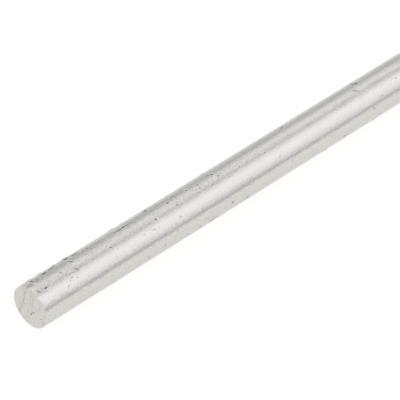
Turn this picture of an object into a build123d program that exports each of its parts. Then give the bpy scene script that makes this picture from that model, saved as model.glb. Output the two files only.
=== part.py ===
"""Round aluminium bar: one straight piece of stock, sawn to length and lying on its side.

The frame is in millimetres with +Z up. The bar's axis runs along X at one radius above the floor,
and the origin is on the floor under the middle of the bar, so the bar rests on the plane Z = 0.
"""

import os

from build123d import *

# Driving dimensions of the stock
bar_diameter = 12.0
bar_length = 300.0  # from one sawn face to the other
edge_break = 0.3  # radius that deburring leaves on the rim of each sawn end

# Places that follow from them
bar_radius = bar_diameter / 2
near_end = Plane(origin=(-bar_length / 2, 0, bar_radius), x_dir=(0, 1, 0), z_dir=(1, 0, 0))

# The bar: a round section run from the near sawn face to the far one
with BuildPart() as round_bar:
    with BuildSketch(near_end):
        Circle(bar_radius)
    extrude(amount=bar_length)
    sawn_rims = round_bar.edges().filter_by(GeomType.CIRCLE)
    fillet(sawn_rims, radius=edge_break)

round_bar.part.label = "round_bar"

os.makedirs("parts", exist_ok=True)
export_step(round_bar.part, "parts/round_bar.step")

volume = round_bar.part.volume
size = round_bar.part.bounding_box().size
print(f"round_bar: {size.X:.2f} x {size.Y:.2f} x {size.Z:.2f} mm, {volume / 1000:.2f} cm3")
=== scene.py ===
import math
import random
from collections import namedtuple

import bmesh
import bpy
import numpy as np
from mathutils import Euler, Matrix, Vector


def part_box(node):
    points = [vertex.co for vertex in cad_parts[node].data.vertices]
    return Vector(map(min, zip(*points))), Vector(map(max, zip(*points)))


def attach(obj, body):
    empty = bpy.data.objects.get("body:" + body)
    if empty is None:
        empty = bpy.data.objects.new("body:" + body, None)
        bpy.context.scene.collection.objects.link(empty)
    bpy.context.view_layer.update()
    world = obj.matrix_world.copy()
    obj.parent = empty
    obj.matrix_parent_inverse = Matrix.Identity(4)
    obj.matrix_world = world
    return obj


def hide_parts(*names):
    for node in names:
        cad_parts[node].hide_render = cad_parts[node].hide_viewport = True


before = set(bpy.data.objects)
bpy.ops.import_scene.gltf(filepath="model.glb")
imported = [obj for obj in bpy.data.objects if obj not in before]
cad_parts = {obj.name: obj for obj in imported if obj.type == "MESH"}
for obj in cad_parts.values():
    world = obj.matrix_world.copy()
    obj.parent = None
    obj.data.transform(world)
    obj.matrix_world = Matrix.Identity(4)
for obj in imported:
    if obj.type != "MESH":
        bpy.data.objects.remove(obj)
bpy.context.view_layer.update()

# %% [markdown]
# # A length of mill-finish aluminium bar
#
# The object is one piece of round stock. A mill drew it straight through a die, so its skin is
# bright and faintly lined along its length, and then it was handled: it has dents, gouges and
# small dark pits. A saw cut it off square, which left slanting tooth marks and a torn,
# half-cleaned rim.
#
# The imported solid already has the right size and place. This lesson makes a skin for it, with the
# relief that only the eye needs, and keeps every point within a third of a millimetre of it.

MM = 0.001
low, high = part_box("round_bar")
bar_length = high.x - low.x
bar_radius = (high.z - low.z) / 2
axis_height = (high.z + low.z) / 2
near_end = Vector((low.x, 0, axis_height))
rim_rounding = 0.12 * MM
print(f"bar: {bar_length / MM:.1f} mm long, {2 * bar_radius / MM:.1f} mm across")

# %% [markdown]
# ## The camera
#
# The camera comes first, because each finish is judged through it. The picture was taken with a
# long lens from the near end's side, looking down at 38 degrees and 45 degrees across the bar.
# Its place is given from the middle of the near end, so it follows the bar.

# %% The camera
camera_from_end = Vector((-0.35124, -0.40831, 0.45333))
camera_elevation = 37.98
camera_azimuth = -45.24
camera_lens = 252.4
camera_sensor = 36.0

camera_data = bpy.data.cameras.new("studio_camera")
camera_data.lens = camera_lens
camera_data.sensor_width = camera_sensor
camera = bpy.data.objects.new("studio_camera", camera_data)
camera.location = near_end + camera_from_end
tilt, heading = math.radians(90 - camera_elevation), math.radians(camera_azimuth)
camera.rotation_euler = Euler((tilt, 0, heading))
bpy.context.scene.collection.objects.link(camera)
bpy.context.scene.camera = camera
bpy.context.scene.view_settings.view_transform = "Standard"
print(f"camera: {camera_from_end.length:.3f} m from the near end")

# %% [markdown]
# ## Helpers for node trees
#
# Every finish and the studio itself are node trees, so one function adds a node, sets it and
# links it. An input is a value, a socket, or a node, whose first output is then linked. Colours
# are written as the hex values that a paint chart gives, which are sRGB, and one function turns
# them into the linear numbers that a renderer adds up.


# %% One function for nodes and one for colours
def linear(hex_colour):
    """The linear RGBA of an sRGB hex colour."""
    channels = [int(hex_colour[place:place + 2], 16) / 255 for place in (1, 3, 5)]
    return [*(c / 12.92 if c <= 0.04045 else ((c + 0.055) / 1.055) ** 2.4 for c in channels), 1.0]


def add(tree, kind, inputs=None, **settings):
    """Add a node with its settings, and set or link its inputs."""
    node = tree.nodes.new(kind)
    for name, value in settings.items():
        setattr(node, name, value)
    for socket, value in (inputs or {}).items():
        if isinstance(value, bpy.types.Node):
            value = value.outputs[0]
        if isinstance(value, bpy.types.NodeSocket):
            tree.links.new(value, node.inputs[socket])
        else:
            node.inputs[socket].default_value = value
    return node


# %% [markdown]
# ## The studio
#
# A bright metal bar shows its surroundings and little else. Its long bands are a white tent, with
# the gaps and seams of the tent as darker lines, all running the way the bar runs. A row of area
# lights could make them, but each band would take a lamp of its own. A world shader sets them all
# by one number: the angle round the bar's axis, from the floor in front, over the top and down
# behind. The lens sees plain white instead.

# %% Light by the angle round the bar
tent_tint = linear("#fffefc")
floor_tint = linear("#fffcf7")
# Between these two angles it is the floor that the metal shows
floor_behind, floor_in_front = -160, -9
# Degrees above the horizon on the camera's side, up over the bar and down behind it: brightness
tent_glow = [
    (-180, 0.70),
    (-165, 0.82),
    (-150, 0.77),
    (-100, 0.81),
    (-60, 0.83),
    (-30, 0.88),
    (-19, 0.88),
    (-12.5, 0.89),
    (-9, 0.53),
    (-2, 0.51),
    (4, 0.72),
    (12, 0.86),
    (30, 0.98),
    (50, 1.05),
    (63, 1.02),
    (70, 0.95),
    (78, 0.83),
    (86, 0.66),
    (92, 0.68),
    (104, 0.85),
    (115, 0.90),
    (125, 0.86),
    (143, 0.62),
    (157, 0.54),
    (168, 0.59),
    (180, 0.70),
]
# The seam overhead is askew: between two directions along the bar it turns by some degrees
seam_start, seam_end = 0.50, 0.62
seam_turn_at_start, seam_turn_at_end = 5.0, -6.5
print(f"studio: {len(tent_glow)} stops of light round the bar")

# %% The tent as a world shader
world = bpy.data.worlds.new("studio_tent")
world.use_nodes = True
tree = world.node_tree
tree.nodes.clear()
direction = add(tree, "ShaderNodeTexCoord").outputs["Generated"]
parts = add(tree, "ShaderNodeSeparateXYZ", {0: direction})
forwards = add(tree, "ShaderNodeMath", {0: parts.outputs["Y"], 1: -1.0}, operation="MULTIPLY")
round_angle = add(tree, "ShaderNodeMath", {0: parts.outputs["Z"], 1: forwards}, operation="ARCTAN2")
sideways = add(
    tree,
    "ShaderNodeMapRange",
    {
        "Value": parts.outputs["X"],
        "From Min": seam_start,
        "From Max": seam_end,
        "To Min": math.radians(seam_turn_at_start),
        "To Max": math.radians(seam_turn_at_end),
    },
)
# The seam's turn is whole straight overhead and fades to none at the horizon
overhead = add(tree, "ShaderNodeMath", {0: parts.outputs["Z"], 1: 2.0}, operation="POWER")
tent_angle = add(
    tree, "ShaderNodeMath", {0: sideways, 1: overhead, 2: round_angle}, operation="MULTIPLY_ADD"
)
turn = add(
    tree, "ShaderNodeMapRange", {"Value": tent_angle, "From Min": -math.pi, "From Max": math.pi}
)
glow = add(tree, "ShaderNodeValToRGB", {"Fac": turn})
stops = glow.color_ramp.elements
stops.remove(stops[0])
for number, (angle, brightness) in enumerate(tent_glow):
    place = (angle + 180) / 360
    stop = stops[0] if number == 0 else stops.new(place)
    stop.position = place
    tint = floor_tint if floor_behind < angle <= floor_in_front else tent_tint
    stop.color = [brightness * channel for channel in tint[:3]] + [1.0]
tent = add(tree, "ShaderNodeBackground", {"Color": glow, "Strength": 1.0})
plain_white = add(tree, "ShaderNodeBackground", {"Color": linear("#ffffff"), "Strength": 1.0})
seen = add(tree, "ShaderNodeLightPath").outputs["Is Camera Ray"]
mixed = add(tree, "ShaderNodeMixShader", {0: seen, 1: tent, 2: plain_white})
add(tree, "ShaderNodeOutputWorld", {"Surface": mixed})
bpy.context.scene.world = world
print(f"tent: {len(tree.nodes)} nodes")

# %% [markdown]
# ## The floor
#
# The floor is a plain pale sheet. Paper alone would show the bar's shadow, which the picture
# hardly has. So most of the sheet's brightness is its own glow, as of a light table, and the
# shadow is only a faint soft line. The tent's lower half stands for the floor in the metal, so
# that all the bands are set in one place.


# %% The pale floor
def new_material(name):
    """A new material with an empty node tree."""
    material = bpy.data.materials.new(name)
    material.use_nodes = True
    material.node_tree.nodes.clear()
    return material


# The sheet reaches so many metres each way, past all that the lens sees
floor_reach = 12.0
floor_glow = 0.90
floor_bm = bmesh.new()
bmesh.ops.create_grid(floor_bm, x_segments=1, y_segments=1, size=floor_reach)
floor_mesh = bpy.data.meshes.new("pale_floor")
floor_bm.to_mesh(floor_mesh)
floor_bm.free()
floor = bpy.data.objects.new("pale_floor", floor_mesh)
bpy.context.scene.collection.objects.link(floor)
floor.location.z = low.z
floor.visible_glossy = False

sheet = new_material("pale_sheet")
tree = sheet.node_tree
paper = add(tree, "ShaderNodeBsdfDiffuse", {"Color": linear("#6a6968")})
table_light = add(tree, "ShaderNodeEmission", {"Color": linear("#ffffff"), "Strength": floor_glow})
both = add(tree, "ShaderNodeAddShader", {0: paper, 1: table_light})
add(tree, "ShaderNodeOutputMaterial", {"Surface": both})
floor_mesh.materials.append(sheet)
print("floor: one pale sheet at the bar's lowest line")

# %% [markdown]
# ## The bar's outline, spun
#
# The bar is round all along. A ready-made cylinder would do, but its rims and the length of its
# faces would then need work. So it starts as half of its section: five points, from the middle of
# one sawn face round to the middle of the other. Bevelling the two rim points rounds them as
# deburring does. The long line is cut into short pieces, shorter on the stretch nearest the
# camera, and the whole line is spun once round the axis.

# %% Half the section
fine_stretch = 140 * MM
fine_ring = 0.5 * MM
coarse_ring = 1.25 * MM
steps_round = 128
rim_segments = 3
# Points nearer to each other than this are one point
same_place = 0.001 * MM


def cut_line(bm, edge, spacing):
    """Cut one straight edge into pieces of about the given length."""
    cuts = round(edge.calc_length() / spacing) - 1
    bmesh.ops.subdivide_edges(bm, edges=[edge], cuts=cuts)


bar_bm = bmesh.new()
turning_point = low.x + fine_stretch
outline = [
    (low.x, 0, 0),
    (low.x, 0, bar_radius),
    (turning_point, 0, bar_radius),
    (high.x, 0, bar_radius),
    (high.x, 0, 0),
]
points = [bar_bm.verts.new(place) for place in outline]
for start, end in zip(points, points[1:]):
    bar_bm.edges.new((start, end))
bmesh.ops.bevel(
    bar_bm,
    geom=[points[1], points[3]],
    offset=rim_rounding,
    offset_type="OFFSET",
    affect="VERTICES",
    segments=rim_segments,
    profile=0.5,
    material=-1,
)
print(f"half the section: {len(bar_bm.verts)} points")

# %% A full turn
# The two long lines of the side, the finer one first
side_lines = [edge for edge in bar_bm.edges if edge.calc_length() > 4 * bar_radius]
side_lines.sort(key=lambda edge: min(vert.co.x for vert in edge.verts))
cut_line(bar_bm, side_lines[0], fine_ring)
cut_line(bar_bm, side_lines[1], coarse_ring)
bmesh.ops.spin(
    bar_bm,
    geom=bar_bm.verts[:] + bar_bm.edges[:],
    cent=(0, 0, 0),
    axis=(1, 0, 0),
    angle=math.tau,
    steps=steps_round,
    use_merge=True,
)
bmesh.ops.remove_doubles(bar_bm, verts=bar_bm.verts[:], dist=same_place)
bmesh.ops.recalc_face_normals(bar_bm, faces=bar_bm.faces[:])
bmesh.ops.translate(bar_bm, verts=bar_bm.verts[:], vec=(0, 0, axis_height))
print(f"spun skin: {len(bar_bm.faces)} faces")

# %% [markdown]
# ## The sawn faces, cut the way the saw went
#
# A spun face is a fan of long thin slices, which can't carry tooth marks. Each fan is dissolved
# into one round face, and that is cut into narrow strips along the saw marks and wider ones
# across them. The strips follow the marks, so a small number of faces shows them sharply.

# %% Strips on both ends
saw_lean = 17.0
strip_width = 0.12 * MM
strip_length = 0.24 * MM
# A point within this distance of a cutting plane, in metres, counts as on it
on_the_cut = 1e-7


def end_faces(bm, end_x):
    """The flat faces of the end at end_x."""
    return [
        face
        for face in bm.faces
        if all(abs(vert.co.x - end_x) < same_place for vert in face.verts)
    ]


def cut_strips(bm, end_x, lean, spacing):
    """Cut the end's flat face by planes that lean from upright by so many degrees."""
    across = Vector((0, math.cos(math.radians(lean)), math.sin(math.radians(lean))))
    middle = Vector((end_x, 0, axis_height))
    count = int(bar_radius / spacing)
    for number in range(-count, count + 1):
        faces = end_faces(bm, end_x)
        edges = {edge for face in faces for edge in face.edges}
        corners = {vert for face in faces for vert in face.verts}
        place = middle + across * spacing * (number + 0.5)
        bmesh.ops.bisect_plane(
            bm, geom=[*corners, *edges, *faces], dist=on_the_cut, plane_co=place, plane_no=across
        )


for end_x in (low.x, high.x):
    bmesh.ops.dissolve_faces(bar_bm, faces=end_faces(bar_bm, end_x))
    cut_strips(bar_bm, end_x, saw_lean + 90, strip_length)
    cut_strips(bar_bm, end_x, saw_lean, strip_width)
print(f"with sawn faces in strips: {len(bar_bm.faces)} faces")

# %% [markdown]
# ## Where the marks are
#
# The bar was handled, so it is dented all over. A bump texture could show that, but the outline
# would stay smooth and the mesh plain, so each mark is pressed into the mesh. It has a place
# along the bar, measured from the near end in millimetres, and a place round it, in degrees from
# the top towards the camera's side. It has a length, a width, a depth and a turn from the bar's
# own direction. The large ones near the camera are listed one by one, because they are what one
# would know this very bar by. The rest are drawn at random with a fixed seed.

# %% Gouges along the far edge of the top
Mark = namedtuple("Mark", "along around length width depth turn")
edge_gouges = [
    Mark(2.8, -23, 1.3, 0.7, 0.10, -87),
    Mark(4.6, -19, 0.9, 0.4, 0.08, 80),
    Mark(6.7, -24, 1.0, 0.6, 0.10, 20),
    Mark(7.4, -24, 1.4, 1.1, 0.115, 10),
    Mark(9.0, -24, 0.9, 0.4, 0.07, 0),
    Mark(9.9, -26, 1.8, 0.75, 0.13, 0),
    Mark(11.6, -38, 1.0, 0.8, 0.045, 0),
    Mark(13.7, -30, 0.7, 0.5, 0.05, 0),
    Mark(15.3, -31.5, 2.1, 0.9, 0.19, -10),
    Mark(17.2, -25, 0.9, 0.6, 0.11, -20),
    Mark(18.3, -25, 0.9, 0.6, 0.11, 0),
    Mark(21.5, -18, 0.8, 0.5, 0.09, -75),
    Mark(22.0, -12, 1.3, 0.4, 0.05, 70),
    Mark(42.9, -25, 1.2, 0.9, 0.10, -60),
    Mark(65.2, -38, 1.4, 0.5, 0.07, -50),
    Mark(93.9, -22, 1.6, 0.8, 0.06, -15),
    Mark(122.4, -17, 1.9, 0.85, 0.10, 16),
    Mark(122.2, -26, 1.2, 0.6, 0.07, 0),
]
print(f"gouges: {len(edge_gouges)}")

# %% Dents on the upper side
upper_dents = [
    Mark(1.55, 20.5, 1.4, 0.4, 0.085, 70),
    Mark(3.75, 21.5, 1.0, 0.5, 0.12, -24),
    Mark(2.2, 2.5, 0.75, 0.3, 0.05, 52),
    Mark(4.9, 18, 0.6, 0.4, 0.05, 0),
    Mark(5.7, 10, 0.6, 0.4, 0.04, 0),
    Mark(10.1, 7.5, 0.7, 0.4, 0.08, 68),
    Mark(12.0, 23, 0.8, 0.5, 0.06, 0),
    Mark(12.9, 5, 0.6, 0.4, 0.04, 0),
    Mark(14.9, -6, 1.3, 0.45, 0.10, 60),
    Mark(14.2, 21.5, 1.5, 0.55, 0.08, 80),
    Mark(15.7, 19, 0.6, 0.3, 0.09, -47),
    Mark(19.3, 0, 0.6, 0.4, 0.05, 0),
    Mark(19.7, 22, 1.3, 0.5, 0.055, 0),
    Mark(25.0, 0, 0.6, 0.4, 0.05, 20),
    Mark(26.2, 21, 0.8, 0.5, 0.10, 25),
    Mark(26.0, 20, 2.4, 0.4, 0.03, 0),
    Mark(33.2, -13, 6.5, 0.55, 0.082, 1),
    Mark(32.7, -13, 1.4, 0.75, 0.10, 0),
    Mark(31.4, -11, 1.4, 0.5, 0.05, 20),
    Mark(34.6, -13.5, 1.7, 0.7, 0.11, 5),
    Mark(36.6, -13.5, 0.9, 0.6, 0.09, -30),
    Mark(39.3, -21, 1.0, 0.4, 0.05, -30),
    Mark(42.3, 20, 0.8, 0.5, 0.11, 35),
    Mark(45.9, 20, 0.6, 0.4, 0.06, 25),
    Mark(46.4, -16, 0.9, 0.6, 0.05, -54),
    Mark(48.9, -4, 0.8, 0.45, 0.12, -48),
    Mark(50.2, 17, 0.6, 0.4, 0.10, 32),
    Mark(50.7, 17, 0.5, 0.4, 0.07, 40),
    Mark(50.8, 12, 0.6, 0.35, 0.04, 0),
    Mark(50.9, -11, 0.8, 0.5, 0.07, -85),
    Mark(51.6, 20.5, 1.3, 0.28, 0.065, 20),
    Mark(51.8, -15, 1.1, 0.65, 0.09, 55),
    Mark(55.9, -7, 1.2, 0.45, 0.09, 10),
    Mark(57.6, -6.5, 3.0, 0.3, 0.05, 0),
    Mark(57.9, 20, 0.7, 0.4, 0.06, 0),
    Mark(58.0, 10, 0.6, 0.35, 0.04, 0),
    Mark(59.3, 9, 0.7, 0.25, 0.055, -50),
    Mark(59.6, -2.5, 1.0, 0.4, 0.08, -25),
    Mark(63.1, 21, 1.1, 0.4, 0.08, -20),
    Mark(64.7, -12.5, 1.2, 0.4, 0.11, 10),
    Mark(65.7, -7.5, 1.1, 0.45, 0.11, 40),
    Mark(66.4, 8, 0.6, 0.45, 0.09, 29),
    Mark(67.4, 6, 0.4, 0.3, 0.07, 45),
    Mark(69.3, 5, 0.9, 0.4, 0.03, 0),
    Mark(69.2, 18, 0.6, 0.4, 0.05, 0),
    Mark(72.1, 20, 0.6, 0.35, 0.06, 20),
    Mark(73.4, 18, 0.7, 0.35, 0.08, -44),
    Mark(78.2, -20, 1.0, 0.4, 0.05, -30),
    Mark(82.7, 21.5, 1.3, 0.4, 0.07, 0),
    Mark(92.0, 19, 1.0, 0.25, 0.07, -47),
    Mark(92.4, 14, 0.6, 0.4, 0.05, 0),
    Mark(113.4, 21, 0.6, 0.4, 0.07, 14),
    Mark(119.8, 7, 1.7, 0.35, 0.08, 41),
    Mark(120.3, 14, 0.8, 0.4, 0.06, 70),
]
print(f"dents on the upper side: {len(upper_dents)}")

# %% Dents in the bright band and below it
bright_dents = [
    Mark(9.4, 48, 0.6, 0.45, 0.05, -48),
    Mark(10.7, 38, 0.7, 0.4, 0.03, -10),
    Mark(11.5, 33, 1.1, 0.6, 0.035, 0),
    Mark(12.9, 25, 0.9, 0.45, 0.06, 0),
    Mark(12.9, 41, 0.95, 0.3, 0.045, 20),
    Mark(36.6, 38, 0.8, 0.5, 0.03, 0),
    Mark(39.9, 40.5, 1.4, 0.25, 0.05, 22),
    Mark(41.4, 43, 0.9, 0.25, 0.03, -20),
    Mark(48.9, 48, 0.6, 0.45, 0.06, 20),
    Mark(85.9, 53, 0.8, 0.4, 0.045, -79),
    Mark(125.6, 58, 0.7, 0.28, 0.06, -39),
    Mark(126.3, 57.5, 1.0, 0.28, 0.06, 17),
]
lower_dents = [
    Mark(36.1, 104, 1.3, 0.7, 0.05, 20),
    Mark(38.8, 92, 1.1, 0.6, 0.03, 0),
    Mark(41.9, 95, 0.8, 0.5, 0.05, 0),
    Mark(50.4, 107, 0.7, 0.4, 0.06, 20),
    Mark(55.2, 112, 1.3, 0.4, 0.09, 43),
    Mark(57.6, 96, 0.7, 0.35, 0.07, 46),
    Mark(59.6, 112, 2.5, 0.5, 0.08, 12),
    Mark(60.5, 107, 0.7, 0.4, 0.06, 20),
    Mark(64.2, 99, 1.2, 0.4, 0.035, 42),
    Mark(66.8, 93, 0.75, 0.6, 0.09, -23),
    Mark(72.8, 111, 1.3, 0.8, 0.08, 29),
    Mark(73.5, 74, 0.6, 0.35, 0.05, 0),
    Mark(89.6, 80, 0.7, 0.4, 0.04, 10),
    Mark(101.7, 70, 1.3, 0.25, 0.07, 26),
    Mark(105.2, 80, 0.6, 0.45, 0.05, 66),
    Mark(110.7, 109, 1.5, 0.7, 0.075, 16),
    Mark(122.3, 77, 1.0, 0.75, 0.05, 30),
    Mark(125.4, 112, 1.8, 0.4, 0.05, 37),
    Mark(128.1, 95, 1.3, 0.35, 0.045, 32),
]
print(f"dents in the bright band: {len(bright_dents)}, and below it: {len(lower_dents)}")

# %% [markdown]
# ## Burrs, scrapes, knocks and smears
#
# Not every mark is a dark dent. A burr is metal that was pushed out of a gouge. A scrape is
# shallow and fresh, so it is bright where a dent is dark. A knock that was rolled smooth has
# walls that catch the light, and a smear is dirt that was rubbed on. All four are marks too, with
# the same six numbers, because they differ only in depth and in what they leave on the surface.

# %% Burrs and scrapes
# Where metal was pushed out of a gouge or rolled flat, the bar's outline has a bump or a dip
burrs = [
    Mark(3.6, -47, 1.2, 1.6, -0.12, 0),
    Mark(7.3, -47, 0.9, 1.6, -0.13, 0),
    Mark(11.8, -47, 1.0, 1.6, -0.10, 0),
    Mark(15.8, -47, 0.9, 1.6, -0.14, 0),
    Mark(32.2, -46, 1.4, 1.4, -0.12, 0),
    Mark(36.2, -47, 0.9, 1.6, -0.06, 0),
    Mark(65.6, -48, 0.6, 0.9, -0.08, 0),
    Mark(25.1, 131, 0.9, 1.6, -0.08, 0),
    Mark(62.0, 131, 2.2, 2.0, 0.11, 0),
    Mark(70.5, 131, 1.6, 2.0, 0.11, 0),
    Mark(103.9, 131, 1.4, 1.6, -0.11, 0),
    Mark(123.9, 131, 1.2, 1.6, -0.13, 0),
]
scrapes = [
    Mark(2.4, -5, 0.7, 0.5, 0.04, 0),
    Mark(2.5, 14, 0.6, 0.4, 0.04, 30),
    Mark(3.7, -26, 0.7, 0.6, 0.05, 0),
    Mark(5.3, -22, 0.6, 0.6, 0.04, 0),
    Mark(5.5, 22, 0.5, 0.4, 0.03, 0),
    Mark(8.3, -27, 0.7, 0.5, 0.04, 20),
    Mark(11.9, -27, 1.1, 0.8, 0.05, 0),
    Mark(13.7, -4, 0.5, 0.4, 0.04, 45),
    Mark(15.1, 14, 0.6, 0.4, 0.04, 0),
    Mark(16.2, -22, 0.5, 0.5, 0.04, 30),
    Mark(18.8, -29, 1.2, 0.6, 0.04, 0),
    Mark(26.6, 18, 0.6, 0.4, 0.04, 0),
    Mark(33.2, -20, 0.9, 0.6, 0.04, 0),
    Mark(37.1, -23, 0.8, 0.6, 0.04, 0),
    Mark(41.3, 18, 0.5, 0.4, 0.04, 0),
    Mark(42.7, 0, 0.7, 0.5, 0.05, 30),
    Mark(43.0, 22, 0.6, 0.4, 0.04, 0),
    Mark(52.3, 17, 0.8, 0.4, 0.04, 20),
    Mark(56.0, -11, 0.9, 0.5, 0.05, 20),
    Mark(58.6, -2, 0.6, 0.4, 0.04, 0),
    Mark(67.6, 2, 0.9, 0.6, 0.04, 60),
    Mark(119.5, 19, 0.8, 0.4, 0.04, 30),
]
print(f"burrs: {len(burrs)}, scrapes: {len(scrapes)}")

# %% Knocks and smears
knocks = [
    Mark(0.66, 12.3, 1.0, 0.7, 0.12, 48),
    Mark(0.30, 18, 1.0, 0.6, 0.12, 25),
    Mark(2.6, 14, 0.6, 0.4, 0.06, 30),
    Mark(4.6, 6, 0.6, 0.5, 0.05, 0),
    Mark(9.3, 13, 0.9, 0.6, 0.03, 0),
    Mark(13.3, 8, 0.8, 0.6, 0.03, 0),
    Mark(16.6, 10, 0.9, 0.6, 0.03, 0),
    Mark(19.5, 10, 1.0, 0.7, 0.03, 0),
    Mark(24.2, 6, 0.9, 0.6, 0.03, 0),
    Mark(40.8, 11, 0.9, 0.6, 0.03, 0),
    Mark(47.2, 5, 0.8, 0.6, 0.03, 0),
]
# Smears are pressed in no deeper than the dirt's own thickness
smears = [
    Mark(1.2, -10, 2.2, 1.7, 0.015, 18),
    Mark(1.5, -12, 1.1, 0.9, 0.018, 24),
    Mark(1.1, 20, 1.3, 1.0, 0.010, 32),
    Mark(2.2, 28, 3.4, 0.8, 0.008, 0),
    Mark(3.4, -13, 2.6, 1.1, 0.012, 0),
    Mark(0.3, 54, 2.6, 0.9, 0.005, 90),
    Mark(0.3, 28, 0.8, 0.6, 0.009, 0),
    Mark(3.0, 20.5, 1.4, 0.5, 0.012, 0),
    Mark(0.5, 68, 1.2, 0.7, 0.009, 0),
    Mark(3.4, 60, 1.8, 0.6, 0.007, 0),
    Mark(65.7, 69, 1.8, 0.6, 0.007, 0),
    Mark(100.0, 18, 2.8, 0.6, 0.009, 0),
    Mark(107.6, 70, 1.2, 0.5, 0.010, 0),
    Mark(114.2, 17.5, 2.8, 0.5, 0.011, 0),
    Mark(127.2, 17.5, 5.6, 0.6, 0.011, 0),
    Mark(131.9, 74, 1.3, 0.6, 0.010, 0),
]
chosen_marks = edge_gouges + upper_dents + bright_dents + lower_dents
other_marks = burrs + scrapes + knocks + smears
print(f"marks chosen by hand: {len(chosen_marks)} dents and {len(other_marks)} of other kinds")

# %% [markdown]
# ## Marks that nobody would know the bar by
#
# Small specks lie all over it. On the far half, the back and the underside there are also larger
# dents of the kinds above. Placing all of them by hand would take hours and nobody would see it,
# so dice with a fixed seed place them, the same ones at each run. None lies on the line that the
# bar rests on.

# %% Marks at random
dice = random.Random(12)
speck_count = 140
dent_count = 70
# How near an end a mark may lie, in mm, and how far round from the top, in degrees
clear_of_ends = 1
furthest_round = 165
# Its largest turn in degrees, and its largest length as a number of widths
largest_turn = 60
most_widths = 2.4
# The stretch with the listed marks, in mm along the bar and in degrees round it
chosen_along = 132
chosen_from, chosen_to = -55, 135


def random_mark(smallest, largest, shallowest, deepest):
    """One mark of a size and depth between the given ones, in mm."""
    along = dice.uniform(clear_of_ends, bar_length / MM - clear_of_ends)
    around = dice.uniform(-furthest_round, furthest_round)
    share = dice.random() ** 2
    width = smallest + (largest - smallest) * share
    depth = shallowest + (deepest - shallowest) * dice.random()
    length = width * dice.uniform(1.0, most_widths)
    return Mark(along, around, length, width, depth, dice.uniform(-largest_turn, largest_turn))


def already_chosen(mark):
    """Whether a mark lies on the stretch where the larger marks are listed one by one."""
    return mark.along < chosen_along and chosen_from < mark.around < chosen_to


specks = [random_mark(0.2, 0.4, 0.01, 0.03) for _ in range(speck_count)]
dents = [random_mark(0.3, 0.9, 0.05, 0.2) for _ in range(dent_count)]
dents = [mark for mark in dents if not already_chosen(mark)]
dark_marks = chosen_marks + specks + dents
print(f"marks at random: {len(specks)} specks and {len(dents)} dents")

# %% [markdown]
# ## Finer faces where the marks are
#
# A dent half a millimetre wide needs faces of a tenth. The whole skin could be cut that fine, but
# then it would have nearly a million. So only the faces at a mark are cut, in two rounds, the
# second one closer round it than the first.


# %% Cut the faces at the marks
# How far past a mark each round of cuts reaches, in mm
fine_margins = (0.45, 0.25)


def clock_places(points):
    """Place along the bar in mm and round it in degrees, for rows of x, y, z."""
    along = (points[:, 0] - low.x) / MM
    around = np.degrees(np.arctan2(-points[:, 1], points[:, 2] - axis_height))
    return along, around


def offsets(mark, along, around):
    """How far each place is from the mark's middle, in mm along the bar and round it."""
    apart = (around - mark.around + 180) % 360 - 180
    return along - mark.along, np.radians(apart) * bar_radius / MM


def reach(mark, ahead, aside, margin=0.0):
    """Distance from the mark's middle, as a share of its half size, and the bearing there."""
    turn = math.radians(mark.turn)
    lengthwise = (ahead * math.cos(turn) + aside * math.sin(turn)) / (mark.length / 2 + margin)
    crosswise = (aside * math.cos(turn) - ahead * math.sin(turn)) / (mark.width / 2 + margin)
    return np.hypot(lengthwise, crosswise), np.arctan2(crosswise, lengthwise)


def refine_near_marks(bm, margin):
    """Cut every face near a mark into four."""
    points = np.array([vert.co for vert in bm.verts])
    along, around = clock_places(points)
    near = np.zeros(len(points), bool)
    for mark in dark_marks + other_marks:
        near |= reach(mark, *offsets(mark, along, around), margin)[0] < 1
    bm.verts.index_update()
    edges = [edge for edge in bm.edges if all(near[vert.index] for vert in edge.verts)]
    bmesh.ops.subdivide_edges(bm, edges=edges, cuts=1, use_grid_fill=True)


for margin in fine_margins:
    refine_near_marks(bar_bm, margin)
print(f"with finer faces at the marks: {len(bar_bm.faces)} faces")

# %% [markdown]
# ## From the edit mesh to a real one
#
# The side and the ends are different finishes, so the faces that look along the bar are put in a
# second material slot. Then the mesh is written out, and its points are moved with array
# arithmetic, which is quick for some ninety thousand of them.

# %% The mesh and its two finishes
SIDE, SAWN = 0, 1
facing_along = 0.6
for face in bar_bm.faces:
    face.smooth = True
    face.material_index = SAWN if abs(face.normal.x) > facing_along else SIDE
skin_mesh = bpy.data.meshes.new("bar_skin")
bar_bm.to_mesh(skin_mesh)
bar_bm.free()
bar_skin = bpy.data.objects.new("bar_skin", skin_mesh)
bpy.context.scene.collection.objects.link(bar_skin)

flat_list = np.empty(len(skin_mesh.vertices) * 3)
skin_mesh.vertices.foreach_get("co", flat_list)
places = flat_list.reshape(-1, 3)
along, around = clock_places(places)
from_end = np.minimum(along, bar_length / MM - along)
from_axis = np.hypot(places[:, 1], places[:, 2] - axis_height) / MM
at_near_end = along < bar_length / MM / 2
print(f"skin: {len(places)} points")


# %% [markdown]
# ## Dents, gouges and pits
#
# A gouge in soft metal has a dark uneven hollow and a low lip where the metal went. Each mark
# presses the surface in inside its outline and raises it just outside. Its outline isn't a clean
# ellipse: a few waves round it, from the same dice, make each one its own.
#
# How deep a point lies in a mark is also kept, because each kind leaves its own surface. Dirt and
# oxide stay in dents, gouges and smears, as `grime_and_shade`, and in dents and gouges it is also
# painted shade, darker the deeper they are. Burrs and scrapes lay bare torn metal, as `torn`. A
# knock that was rolled smooth has neither, and takes away the tear where it lies. None of them
# reaches over the rim onto a sawn face.


# %% How a mark is pressed in
# Shares of a mark's half size: where its hollow ends, where its lip is, and where both are over
hollow_end, hollow_blend = 1.2, 0.4
lip_place, lip_width = 1.4, 0.22
furthest_share = 2.5
# The lip's height is a share of the depth, and each wave's height a share of the half size
lip_height = 0.25
outline_waves, wave_height = 3, 0.12


def smooth_step(value):
    """Ease from 0 to 1 while the value goes from 0 to 1."""
    value = np.clip(value, 0, 1)
    return value * value * (3 - 2 * value)


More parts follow.
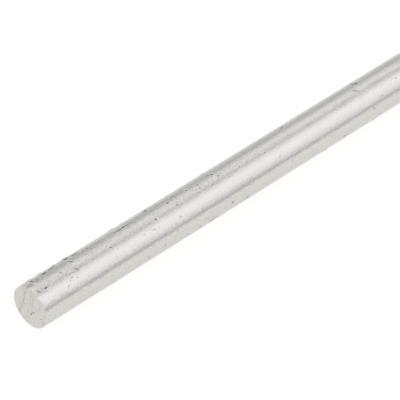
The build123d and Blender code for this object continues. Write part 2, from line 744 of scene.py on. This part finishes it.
def press(mark, ahead, aside, relief, mark_layer, full_depth):
    """Add one mark to the relief, in mm outwards, and to its layer, which is 1 at the full depth.
    """
    distance, bearing = reach(mark, ahead, aside)
    close = distance < furthest_share
    waves = [dice.uniform(0, math.tau) for _ in range(outline_waves)]
    edge = 1 + sum(
        wave_height * np.sin(lobes * bearing[close] + wave) for lobes, wave in enumerate(waves, 2)
    )
    share = distance[close] / edge
    hollow = smooth_step((hollow_end - share) / hollow_blend)
    lip = np.exp(-((share - lip_place) / lip_width) ** 2)
    relief[close] += lip_height * mark.depth * lip - mark.depth * hollow
    mark_layer[close] = np.maximum(mark_layer[close], hollow * min(1.0, mark.depth / full_depth))


# %% Press all the marks in
# The depth in mm at which each kind of mark leaves its full layer, which for dents is dirt and
# painted shade
grime_and_shade_depth, bare_depth, smear_depth = 0.15, 0.04, 0.05
# A mark's layer begins at this distance from the axis and is whole so much further out, in mm
layer_from, layer_blend = 5.6, 0.3

# In dents, gouges and specks the grime layer is partly dirt and oxide and partly painted shade,
# darker the deeper the mark
relief, grime_and_shade, torn, rolled = (np.zeros(len(places)) for _ in range(4))
kinds = [
    (dark_marks, grime_and_shade, grime_and_shade_depth),
    (burrs + scrapes, torn, bare_depth),
    (knocks, rolled, bare_depth),
    (smears, grime_and_shade, smear_depth),
]
for marks, mark_layer, full_depth in kinds:
    for mark in marks:
        press(mark, *offsets(mark, along, around), relief, mark_layer, full_depth)
for mark_layer in (grime_and_shade, torn, rolled):
    mark_layer *= smooth_step((from_axis - layer_from) / layer_blend)
print(f"relief: from {relief.min():.2f} to {relief.max():.2f} mm")

# %% [markdown]
# ## The torn rim
#
# The saw broke out of the bar on its top side and left the metal there scraped and rolled over
# for a few millimetres, where a file then took off the worst. It could be sculpted, but a list is
# easier to change: the tear's reach along the bar is given by the angle round it. Everywhere else
# the rim only has small nicks. It has dice of its own, so one more dent doesn't change it.

# %% Tear and nick the rims
# Degrees round the bar: how far the tear reaches along it, in mm
tear_reach = [
    (-180, 0.15),
    (-75, 0.3),
    (-60, 1.0),
    (-50, 2.0),
    (-35, 2.6),
    (-5, 3.2),
    (8, 3.0),
    (18, 1.8),
    (27, 0.6),
    (50, 0.3),
    (180, 0.15),
]
far_end_turn = 140
raggedness, ragged_count = 0.45, 120
deepest_nick, nick_count = 0.05, 90
# In mm along the bar: the tear's soft edge, the nicks' reach and the longest tear with no depth
tear_blend, nick_reach, flat_reach = 0.4, 0.9, 0.5
tear_depth = 0.05
# Distances from the axis in mm: the relief begins at one and is whole so much further out
relief_from, relief_blend = 4.6, 1.1

rim_dice = random.Random(1990)
ragged = [rim_dice.uniform(-raggedness, raggedness) for _ in range(ragged_count)]
nicks = [deepest_nick * rim_dice.random() ** 2 for _ in range(nick_count)]
clock = np.where(at_near_end, around, (around + far_end_turn + 180) % 360 - 180)
reach_there = np.interp(clock, *zip(*tear_reach))
reach_there *= 1 + np.interp(clock, np.linspace(-180, 180, len(ragged)), ragged)
tear = smooth_step((reach_there - from_end) / tear_blend + 0.5)
nick_there = np.interp(clock, np.linspace(-180, 180, len(nicks)), nicks)
nicked = nick_there * smooth_step(1 - from_end / nick_reach)
relief -= nicked + tear_depth * tear * smooth_step(reach_there - flat_reach)
torn = np.maximum(torn, tear) * (1 - rolled)

hold = smooth_step((from_axis - relief_from) / relief_blend)
shrink = 1 + relief * hold / np.maximum(from_axis, relief_from)
places[:, 1] *= shrink
places[:, 2] = axis_height + (places[:, 2] - axis_height) * shrink
print(f"torn points: {int((torn > 0.5).sum())}")

# %% [markdown]
# ## Tooth marks on the sawn ends
#
# Each pass of the saw's teeth leaves its own low ridge, so the ridges differ in height. A wave
# texture would make them all alike, so two rows of heights, a wide and a narrow one, come from
# dice of their own and are joined in straight lines across the face. The blade is a disc, which
# bends every ridge a little the same way. Some passes went deeper. One of them crosses the whole
# face, and the others fade out half way down. A few pits were torn out as well.

# %% The saw's passes and pits
saw_dice = random.Random(2987)
blade_radius = 40.0
wide_pitch, wide_height = 0.9, 0.022
narrow_pitch, narrow_height = 0.36, 0.022
fade_length = 2.0
# In mm, a deeper pass has a place across the face, a width, a depth and a height to fade out at
DeepPass = namedtuple("DeepPass", "place width depth fades_at")
deep_passes = [
    DeepPass(-2.6, 0.27, 0.032, -9.0),
    DeepPass(-0.5, 0.2, 0.036, 0.5),
    DeepPass(0.45, 0.2, 0.036, -1.0),
    DeepPass(1.6, 0.2, 0.030, 1.0),
    DeepPass(3.0, 0.22, 0.036, -0.5),
]
EndPit = namedtuple("EndPit", "across up length width depth turn")
near_pits = [
    EndPit(-0.43, -1.9, 0.8, 0.4, 0.10, -88),
    EndPit(-1.3, -0.97, 1.6, 0.35, 0.07, 143),
    EndPit(-4.3, -1.4, 0.8, 0.4, 0.04, 148),
    EndPit(-4.85, -2.3, 0.9, 0.6, 0.05, 143),
    EndPit(1.8, 0.15, 1.0, 0.5, 0.04, 150),
    EndPit(1.8, 3.4, 1.4, 0.4, 0.035, -73),
    EndPit(2.35, 1.2, 1.2, 0.4, 0.03, -73),
    EndPit(3.75, -3.0, 1.6, 0.45, 0.035, -73),
    EndPit(1.1, -2.7, 1.7, 0.25, 0.02, 149),
    EndPit(1.3, -3.7, 1.0, 0.4, 0.02, 149),
]
far_pits = [
    EndPit(1.9, 0.8, 0.9, 0.4, 0.07, 40),
    EndPit(-2.4, -2.0, 0.7, 0.35, 0.05, -30),
    EndPit(0.6, 3.1, 1.1, 0.3, 0.03, 20),
]
print(f"deep passes: {len(deep_passes)}, pits: {len(near_pits)} near and {len(far_pits)} far")


# %% Saw the ends
# The rows of heights reach so much past the bar's radius, to leave room for the blade's curve
row_reach = 1.2
# Between the ridges the colour darkens, partly dirt and partly painted shade: this much of it, once
# they are this deep in mm
ridge_dirt_and_shade, ridge_dirt_and_shade_depth = 0.18, 0.06
end_depth = rim_rounding + 0.01 * MM


def row_of_heights(pitch, height):
    """Random heights at even steps across the face."""
    span = row_reach * bar_radius / MM
    steps = np.arange(-span, span + pitch, pitch)
    return steps, [saw_dice.uniform(-height, height) for _ in steps]


def saw_height(across, up):
    """Height of the saw marks in mm at places on a sawn face."""
    middle_across = blade_radius * math.cos(math.radians(saw_lean))
    middle_up = blade_radius * math.sin(math.radians(saw_lean))
    from_blade = np.hypot(across - middle_across, up - middle_up) - blade_radius
    height = np.interp(from_blade, *row_of_heights(wide_pitch, wide_height))
    height += np.interp(from_blade, *row_of_heights(narrow_pitch, narrow_height))
    for deep in deep_passes:
        trench = np.exp(-((from_blade - deep.place) / deep.width) ** 2)
        height -= deep.depth * trench * smooth_step((up - deep.fades_at) / fade_length)
    return height


# Places low between the ridges are painted darker: partly dirt, and partly shade
for end_x, outward, pits in ((low.x, -1, near_pits), (high.x, 1, far_pits)):
    here = np.abs(places[:, 0] - end_x) < end_depth
    across = places[here, 1] / MM
    up = (places[here, 2] - axis_height) / MM
    height = saw_height(across, up)
    dirt_and_shade = ridge_dirt_and_shade * smooth_step(-height / ridge_dirt_and_shade_depth)
    for pit in pits:
        press(pit, across - pit.across, up - pit.up, height, dirt_and_shade, grime_and_shade_depth)
    fade = smooth_step(1 - from_end[here] / (rim_rounding / MM))
    places[here, 0] += outward * MM * height * fade
    grime_and_shade[here] = np.maximum(grime_and_shade[here], dirt_and_shade * fade)

skin_mesh.vertices.foreach_set("co", places.ravel())
print("ends sawn")

# %% [markdown]
# ## What the finishes need to know
#
# Three numbers at each point tell the finishes where they are. A painted picture could too, but
# it would need its own unwrapping. `grime_and_shade` is dirt and oxide in a hollow, together with
# painted shade there and in the grooves between the saw's ridges. `torn` is metal that was torn
# or scraped open. `wear` is how much the side was rubbed and knocked: most along the top, and
# again lower down on the camera's side, with a clean strip in between.

# %% Keep the three numbers on the mesh
# Degrees round the bar: how worn it is
worn_round = [
    (-180, 0.35),
    (-90, 0.35),
    (-60, 0.9),
    (-25, 1.0),
    (-2, 1.0),
    (6, 0.8),
    (20, 0.85),
    (33, 0.3),
    (42, 0.0),
    (50, 0.1),
    (57, 0.5),
    (64, 0.85),
    (71, 0.85),
    (80, 0.35),
    (180, 0.35),
]
# From this place on, in mm, the wear grows less over this length, by this share
less_worn_from, less_worn_over, less_worn_by = 70, 30, 0.35

wear = np.interp(around, *zip(*worn_round))
further_on = smooth_step((along - less_worn_from) / less_worn_over)
wear *= (1 - less_worn_by * further_on) * (1 - np.maximum(torn, rolled))
for name, values in (("grime_and_shade", grime_and_shade), ("torn", torn), ("wear", wear)):
    layer = skin_mesh.attributes.new(name, "FLOAT", "POINT")
    layer.data.foreach_set("value", values)
skin_mesh.update()
print("attributes: grime, torn, wear")

# %% [markdown]
# ## Mill-finish aluminium
#
# The side is aluminium as it left the mill: drawn bright, then dulled a little by handling. It
# gives the eye clear long reflections with slightly soft edges, and fine lines along the bar. Low
# waves and shallow dings bend the reflections a little. Dull spots and small pits mottle the
# skin, more where it's worn. In the marks the metal is dark with oxide and dirt and with painted
# shade, and where the rim is torn it's as pale and matt as the ends.

# %% Drawn and handled aluminium: where it is dull, pitted, dirty and painted with shade
bright_metal = linear("#eae9e9")
scraped_metal = linear("#f0eeec")
# Oxide and dirt are this dark, and the same colour paints the shade in the marks
dark_oxide_and_shade = linear("#5a534d")
# The size of each pattern's patches along, across and up, in mm. The lines that a die leaves are
# a few hundredths of a millimetre wide, and are coarser here, so that they show.
patch_sizes = {
    "clouds": (0.6, 0.4, 0.4),
    "pits": (0.9, 0.7, 0.7),
    "dings": (2.2, 1.5, 1.5),
    "swells": (8.0, 4.0, 4.0),
    "ripples": (1.6, 0.7, 0.7),
    "die lines": (30.0, 0.2, 0.2),
}

drawn = new_material("mill_finish_drawn_aluminium")
tree = drawn.node_tree
place = add(tree, "ShaderNodeTexCoord").outputs["Object"]
patches = {}
for name, sizes_mm in patch_sizes.items():
    scale = [size * MM for size in sizes_mm]
    patches[name] = add(
        tree, "ShaderNodeMapping", {"Vector": place, "Scale": scale}, vector_type="TEXTURE"
    )
grime_and_shade_there, torn_there, wear_there = (
    add(tree, "ShaderNodeAttribute", attribute_name=name).outputs["Fac"]
    for name in ("grime_and_shade", "torn", "wear")
)
dulling = add(
    tree, "ShaderNodeMapRange", {"Value": wear_there, "To Min": 0.03, "To Max": 0.155}
)
cloudy = add(tree, "ShaderNodeTexNoise", {"Vector": patches["clouds"], "Scale": 1.0})
dull_spots = add(
    tree,
    "ShaderNodeMapRange",
    {"Value": cloudy, "From Min": 0.56, "From Max": 0.4, "To Max": dulling},
)
pitting = add(tree, "ShaderNodeMapRange", {"Value": wear_there, "To Min": 0.05, "To Max": 0.31})
scattered = add(tree, "ShaderNodeTexVoronoi", {"Vector": patches["pits"], "Scale": 1.0})
pits = add(
    tree,
    "ShaderNodeMapRange",
    {"Value": scattered, "From Min": 0.4, "From Max": 0.15, "To Max": pitting},
)
dull_or_pitted = add(tree, "ShaderNodeMath", {0: dull_spots, 1: pits}, operation="MAXIMUM")
# Where the marks are, this darkening is partly dirt and oxide and partly painted shade
dirt_and_shade_there = add(tree, "ShaderNodeMath", {0: dull_or_pitted, 1: grime_and_shade_there}, operation="MAXIMUM")
print(f"patterns on the drawn side: {len(patches)}")

# %% Drawn and handled aluminium: its colour, gloss and bumps
clean = add(
    tree,
    "ShaderNodeMix",
    {"Factor": torn_there, "A": bright_metal, "B": scraped_metal},
    data_type="RGBA",
)
shade = add(
    tree,
    "ShaderNodeMix",
    {"Factor": dirt_and_shade_there, "A": clean.outputs["Result"], "B": dark_oxide_and_shade},
    data_type="RGBA",
)
clean_rough = add(tree, "ShaderNodeMapRange", {"Value": torn_there, "To Min": 0.2, "To Max": 0.55})
roughness = add(
    tree, "ShaderNodeMath", {0: dirt_and_shade_there, 1: 0.3, 2: clean_rough}, operation="MULTIPLY_ADD"
)
# Bumps: their pattern, how fine its detail is, and their height in mm
uneven_layers = [("swells", 1.0, 0.06), ("ripples", 2.0, 0.03), ("die lines", 2.0, 0.0015)]
ding_height = 0.015

surface = add(tree, "ShaderNodeNewGeometry").outputs["Normal"]
for name, detail, height_mm in uneven_layers:
    texture = {"Vector": patches[name], "Scale": 1.0, "Detail": detail}
    uneven = add(tree, "ShaderNodeTexNoise", texture)
    bump = {"Height": uneven, "Distance": height_mm * MM, "Strength": 1.0, "Normal": surface}
    surface = add(tree, "ShaderNodeBump", bump)
knocked = add(tree, "ShaderNodeTexVoronoi", {"Vector": patches["dings"], "Scale": 1.0})
dings = add(
    tree, "ShaderNodeMapRange", {"Value": knocked, "From Max": 0.3}, interpolation_type="SMOOTHSTEP"
)
bump = {"Height": dings, "Distance": ding_height * MM, "Strength": 1.0, "Normal": surface}
surface = add(tree, "ShaderNodeBump", bump)
metal = add(
    tree,
    "ShaderNodeBsdfPrincipled",
    {
        "Base Color": shade.outputs["Result"],
        "Metallic": 1.0,
        "Roughness": roughness,
        "Normal": surface,
    },
)
add(tree, "ShaderNodeOutputMaterial", {"Surface": metal})
print(f"drawn aluminium: {len(tree.nodes)} nodes")

# %% [markdown]
# ## Saw-cut aluminium
#
# The ends are the same metal, torn by the teeth instead of drawn. Fine scratches scatter the
# light, so they look pale and matt, with no band of the tent in them, and darker lines stay
# between the ridges, partly the saw's oil and dust and partly painted shade.

# %% Saw-cut aluminium
torn_metal = linear("#f2f1f0")
# The size of the patches along the bar, across the cut and along the cut, in mm. The teeth's own
# scratches are finer, and are drawn as wide as they need to be to show.
streak_size = (1.0, 0.35, 1.6)
scratch_size = (1.0, 0.12, 2.5)
scratch_height = 0.012

sawn = new_material("saw_cut_aluminium")
tree = sawn.node_tree
grime_and_shade_there = add(tree, "ShaderNodeAttribute", attribute_name="grime_and_shade").outputs["Fac"]
place = add(tree, "ShaderNodeTexCoord").outputs["Object"]
lean = [math.radians(saw_lean), 0, 0]
along_cut, along_teeth = (
    add(
        tree,
        "ShaderNodeMapping",
        {"Vector": place, "Rotation": lean, "Scale": [size * MM for size in sizes_mm]},
        vector_type="TEXTURE",
    )
    for sizes_mm in (streak_size, scratch_size)
)
streaks = add(tree, "ShaderNodeTexNoise", {"Vector": along_cut, "Scale": 1.0, "Detail": 2.0})
oiled = add(
    tree,
    "ShaderNodeMapRange",
    {"Value": streaks, "From Min": 0.55, "From Max": 0.3, "To Max": 0.15},
)
# Between the ridges and in the pits the metal darkens, partly with dirt and partly with painted
# shade
dirt_and_shade_there = add(tree, "ShaderNodeMath", {0: oiled, 1: grime_and_shade_there}, operation="ADD")
shade = add(
    tree,
    "ShaderNodeMix",
    {"Factor": dirt_and_shade_there, "A": torn_metal, "B": dark_oxide_and_shade},
    data_type="RGBA",
)
scratches = add(tree, "ShaderNodeTexNoise", {"Vector": along_teeth, "Scale": 1.0, "Detail": 3.0})
bump = {"Height": scratches, "Distance": scratch_height * MM, "Strength": 1.0}
scratched = add(tree, "ShaderNodeBump", bump)
sawn_metal = add(
    tree,
    "ShaderNodeBsdfPrincipled",
    {
        "Base Color": shade.outputs["Result"],
        "Metallic": 1.0,
        "Roughness": 0.45,
        "Normal": scratched,
    },
)
add(tree, "ShaderNodeOutputMaterial", {"Surface": sawn_metal})
print(f"saw-cut aluminium: {len(tree.nodes)} nodes")

# %% [markdown]
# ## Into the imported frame
#
# The skin takes the place of the plain solid and rides where it did. Its two finishes go into the
# two slots that its faces were given.

# %% Put the skin in the place of the plain solid
skin_mesh.materials.append(drawn)
skin_mesh.materials.append(sawn)
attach(bar_skin, "root")
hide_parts("round_bar")

# %% The number of triangles
print(f"triangles: {sum(len(face.vertices) - 2 for face in skin_mesh.polygons)}")
